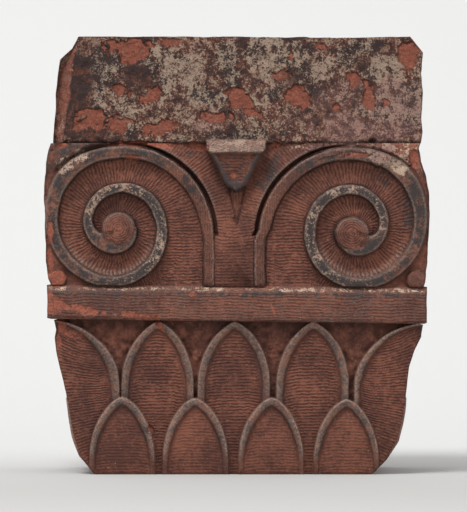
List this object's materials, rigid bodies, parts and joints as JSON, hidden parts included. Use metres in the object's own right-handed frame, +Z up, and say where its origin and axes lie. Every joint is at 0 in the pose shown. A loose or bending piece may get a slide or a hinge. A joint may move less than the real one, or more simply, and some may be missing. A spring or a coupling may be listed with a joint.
{
  "type": "pilaster capital",
  "caption": "Carved brownstone pilaster capital: two volutes under a plain abacus, a flat bar, and a tapering bell covered with pointed leaves; plain flat wall side and bed.",
  "frame": {"origin": "middle of the flat bed that the block stands on", "axes": "+Z up, the carved front faces -Y, the plain wall side faces +Y, +X to the right of a viewer at the front"},
  "size_m": [0.387, 0.203, 0.44],
  "materials": {
    "brownstone": "weathered, combed sandstone"
  },
  "bodies": {
    "root": {"pilaster_capital": "brownstone"}
  },
  "joints": []
}
